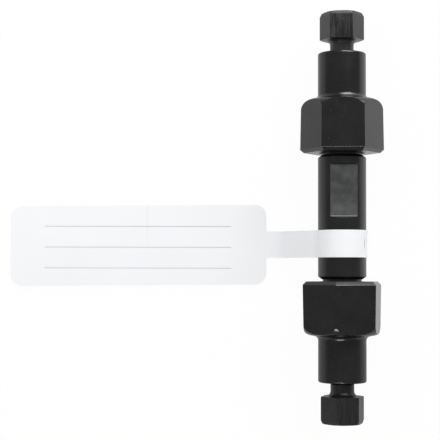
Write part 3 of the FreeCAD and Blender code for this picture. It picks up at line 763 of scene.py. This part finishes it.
class COLUMN_OT_tag(bpy.types.Operator):
    """Build the film tag: band, strap and panel"""
    bl_idname = "column.tag"
    bl_label = "Tag"

    def execute(self, context):
        sizes, look = Sizes("tag"), Sizes("finish")
        material = white_film(look)
        parts = [self.strap(sizes), self.band(sizes)] + self.joins(sizes)
        lying = Matrix(((-1, 0, 0, 0), (0, 0, -1, 0), (0, -1, 0, 0), (0, 0, 0, 1)))
        place = Matrix.Scale(MM, 4) @ Matrix.Translation((0.0, -sizes.middle, 0.0)) @ lying
        piece("tag_film", parts, place, "column", material, ["tag"])
        return {"FINISHED"}

    def path(self, sizes):
        """The strap's middle line from the band to the panel's far end: (across, down, slope)."""
        leave, steep = sizes.leave, sizes.slope
        upper, lower = sizes.bend_upper, sizes.bend_lower
        radius = sizes.band + sizes.film / 2.0
        line = [(radius * math.cos(leave), radius * math.sin(leave), leave)]
        runs = 14
        first = line[0]
        for number in range(1, runs + 1):
            slope = leave + (steep - leave) * number / runs
            line.append((first[0] + upper * (math.sin(slope) - math.sin(leave)),
                         first[1] + upper * (math.cos(leave) - math.cos(slope)), slope))
        bent = line[-1]
        foot = sizes.drop - lower * (1.0 - math.cos(steep))
        reach = bent[0] + (foot - bent[1]) / math.tan(steep)
        for number in range(runs + 1):
            slope = steep * (1.0 - number / runs)
            line.append((reach + lower * (math.sin(steep) - math.sin(slope)),
                         sizes.drop - lower * (1.0 - math.cos(slope)), slope))
        return line

    def strap(self, sizes):
        """Strap and panel: the flat outline, cut across at the bends, bent, and thickened."""
        line = self.path(sizes)
        flat = [0.0]
        for before, after in zip(line, line[1:]):
            flat.append(flat[-1] + math.dist(before[:2], after[:2]))
        level = flat[-1] + sizes.start - line[-1][0]
        end = level + sizes.panel_length
        half, strap = sizes.panel_width / 2.0, sizes.width / 2.0
        skew = math.tan(sizes.skew)
        bm = bmesh.new()
        corners = [(0.0, -strap), (level, sizes.shift - strap), (level, sizes.shift - half),
                   (end, sizes.shift - half), (end, sizes.shift + half), (level, sizes.shift + half),
                   (level, sizes.shift + strap), (0.0, strap)]
        verts = [bm.verts.new((across, 0.0, along)) for across, along in corners]
        bm.faces.new(verts)
        bmesh.ops.bevel(bm, geom=verts[2:6], offset=sizes.corner, offset_type="OFFSET", segments=10,
                        profile=0.5, affect="VERTICES", material=-1)
        for place in flat[1:]:
            bmesh.ops.bisect_plane(bm, geom=bm.verts[:] + bm.edges[:] + bm.faces[:], dist=WELD,
                                   plane_co=(place, 0.0, 0.0), plane_no=(1.0, 0.0, 0.0))
        for vert in bm.verts:
            run = vert.co.x
            number = max(index for index, place in enumerate(flat) if place <= run + 1e-4)
            across, down, slope = line[number]
            if number == len(flat) - 1:
                slope = 0.0
            beyond = run - flat[number]
            vert.co.x = across + beyond * math.cos(slope)
            vert.co.y = down + beyond * math.sin(slope)
            vert.co.z += max(vert.co.x - sizes.start, 0.0) * skew
        bmesh.ops.recalc_face_normals(bm, faces=bm.faces)
        thick = sizes.film * 2.0
        bmesh.ops.solidify(bm, geom=bm.faces[:], thickness=thick)
        lowest = max(vert.co.y for vert in bm.verts)
        bmesh.ops.translate(bm, vec=(0.0, sizes.drop + thick / 2.0 - lowest, 0.0), verts=bm.verts)
        bmesh.ops.recalc_face_normals(bm, faces=bm.faces)
        return bm

    def band(self, sizes):
        """The band: a hoop of one layer with a short slit."""
        inner, outer, half = sizes.band, sizes.band + sizes.film, sizes.width / 2.0
        hoop = spun([(inner, -half), (outer, -half), (outer, half), (inner, half)], ring=True)
        wide, near, far = sizes.slit_gap / 2.0, 5.0, 8.0
        slot = prism([(-wide, near), (wide, near), (wide, far), (-wide, far)], -sizes.slit / 2.0,
                     sizes.slit / 2.0)
        turning = Matrix.Rotation(math.pi - sizes.slit_turn, 4, "Z")
        bmesh.ops.transform(slot, matrix=turning, verts=slot.verts)
        return cut_away(hoop, slot)

    def joins(self, sizes):
        """The two rounded joins where the layers of the band come together into the strap."""
        radius, layer, bend = sizes.band + sizes.film, sizes.film, sizes.join
        across = math.sqrt((radius + bend) ** 2 - (layer + bend) ** 2)
        toward = math.degrees(math.atan2(-(layer + bend), -across))
        inner = radius - layer / 2.0
        share = inner / (radius + bend)
        outline = arc(across, layer + bend, bend, -90.0, toward)
        outline += [(across * share, (layer + bend) * share), (inner, 0.0), (across, 0.0)]
        joins = []
        for side in (1.0, -1.0):
            bm = prism([(x, y * side) for x, y in outline], -sizes.width / 2.0, sizes.width / 2.0)
            bmesh.ops.transform(bm, matrix=Matrix.Rotation(sizes.leave, 4, "Z"), verts=bm.verts)
            joins.append(bm)
        return joins


class COLUMN_OT_stage(bpy.types.Operator):
    """Set the bench, the lamps, the world and the camera"""
    bl_idname = "column.stage"
    bl_label = "Stage"

    def execute(self, context):
        sizes = Sizes("stage")
        self.bench(context, sizes)
        self.world(context)
        for name, place, size, power, seen in LAMPS:
            self.lamp(context, name, place, size, power, seen)
        camera = bpy.data.cameras.new("camera")
        camera.sensor_width = 36.0
        camera.lens = camera.sensor_width * sizes.distance / sizes.field
        item = bpy.data.objects.new("camera", camera)
        leaning = Matrix.Rotation(sizes.roll, 4, "Z") @ Matrix.Rotation(sizes.tilt, 4, "X")
        middle = Vector((sizes.middle_x, sizes.middle_y, 0.0))
        item.location = (middle + leaning @ Vector((0.0, 0.0, sizes.distance))) * MM
        item.rotation_euler = leaning.to_euler()
        context.scene.collection.objects.link(item)
        context.scene.camera = item
        context.scene.view_settings.view_transform = "Standard"
        return {"FINISHED"}

    def bench(self, context, sizes):
        """A white bench. It looks evenly white to the camera and takes a faint shadow. In gloss it glows as a
        painted reflection: white on its +X side, dimmer on its -X side, and at 0.56 of white beyond 36 mm
        towards the outlet.
        """
        bm = bmesh.new()
        bmesh.ops.create_grid(bm, x_segments=1, y_segments=1, size=1.5)
        tilt = Matrix.Rotation(sizes.bench_tilt, 4, "X")
        place = Matrix.Translation((0.0, 0.0, -sizes.bench_drop * MM)) @ tilt
        bmesh.ops.transform(bm, matrix=place, verts=bm.verts)
        mesh = bpy.data.meshes.new("bench")
        bm.to_mesh(mesh)
        bm.free()
        item = bpy.data.objects.new("bench", mesh)
        context.scene.collection.objects.link(item)
        material, tree = new_material("bench_white")
        camera = tree.node("LightPath", {}, {}, "Is Camera Ray")
        glossy = tree.node("LightPath", {}, {}, "Is Glossy Ray")
        paper = tree.node("BsdfDiffuse", {}, {"Color": (0.9, 0.9, 0.9, 1.0)})
        _, (x, y, _) = object_place(tree)
        # Painted reflection: as seen in gloss, the bench's glow is dimmed on its -X side and beyond 36 mm
        # towards the outlet.
        tone = tree.mix(glossy * (1.0 - x.between(-0.03, 0.02)), rgba(WHITE), rgba(WHITE, 0.66))
        tone = tree.mix(glossy * (1.0 - y.between(-0.036, -0.030)), tone, rgba(WHITE, 0.56))
        backdrop_glow_and_painted_reflection = tree.node("Emission", {}, {"Color": tone, "Strength": 1.0})
        both = tree.node("MixShader", {}, {0: camera * 0.97 + glossy * 0.8, 1: paper, 2: backdrop_glow_and_painted_reflection})
        tree.node("OutputMaterial", {}, {"Surface": both})
        mesh.materials.append(material)

    def world(self, context):
        """Pale surroundings, white to the camera and dim as light and in gloss."""
        world = bpy.data.worlds.new("surroundings")
        context.scene.world = world
        world.use_nodes = True
        world.node_tree.nodes.clear()
        tree = Socket(world.node_tree)
        camera = tree.node("LightPath", {}, {}, "Is Camera Ray")
        glossy = tree.node("LightPath", {}, {}, "Is Glossy Ray")
        strength = 0.26 + glossy * 0.02 + camera * 0.74
        shader = tree.node("Background", {}, {"Color": (1.0, 1.0, 1.0, 1.0), "Strength": strength})
        tree.node("OutputWorld", {}, {"Surface": shader})

    def lamp(self, context, name, place, size, power, seen):
        """A soft rectangular lamp that points at the column and adds to matt light, gloss or both."""
        light = bpy.data.lights.new(name, "AREA")
        light.shape = "RECTANGLE"
        light.size, light.size_y = size
        light.energy = power
        item = bpy.data.objects.new(name, light)
        item.location = place
        item.rotation_euler = (-Vector(place)).to_track_quat("-Z", "Y").to_euler()
        item.visible_diffuse = seen != "gloss"
        item.visible_glossy = seen != "matt"
        context.scene.collection.objects.link(item)


class COLUMN_PT_panel(bpy.types.Panel):
    """The column's steps in the sidebar"""
    bl_label = "Guard Column"
    bl_idname = "COLUMN_PT_panel"
    bl_space_type = "VIEW_3D"
    bl_region_type = "UI"
    bl_category = "Column"

    def draw(self, context):
        for operator in OPERATORS:
            self.layout.operator(operator.bl_idname)


OPERATORS = (COLUMN_OT_tube, COLUMN_OT_fittings, COLUMN_OT_plugs, COLUMN_OT_seals, COLUMN_OT_tag,
             COLUMN_OT_stage)


def register():
    for group in GROUPS.values():
        bpy.utils.register_class(group)
    for name, group in GROUPS.items():
        setattr(bpy.types.Scene, "column_" + name, bpy.props.PointerProperty(type=group))
    for entry in OPERATORS + (COLUMN_PT_panel,):
        bpy.utils.register_class(entry)


def unregister():
    for entry in reversed(OPERATORS + (COLUMN_PT_panel,)):
        bpy.utils.unregister_class(entry)
    for name, group in GROUPS.items():
        delattr(bpy.types.Scene, "column_" + name)
        bpy.utils.unregister_class(group)


def main():
    register()
    for operator in OPERATORS:
        getattr(bpy.ops.column, operator.bl_idname.split(".")[1])()


if __name__ == "__main__":
    main()
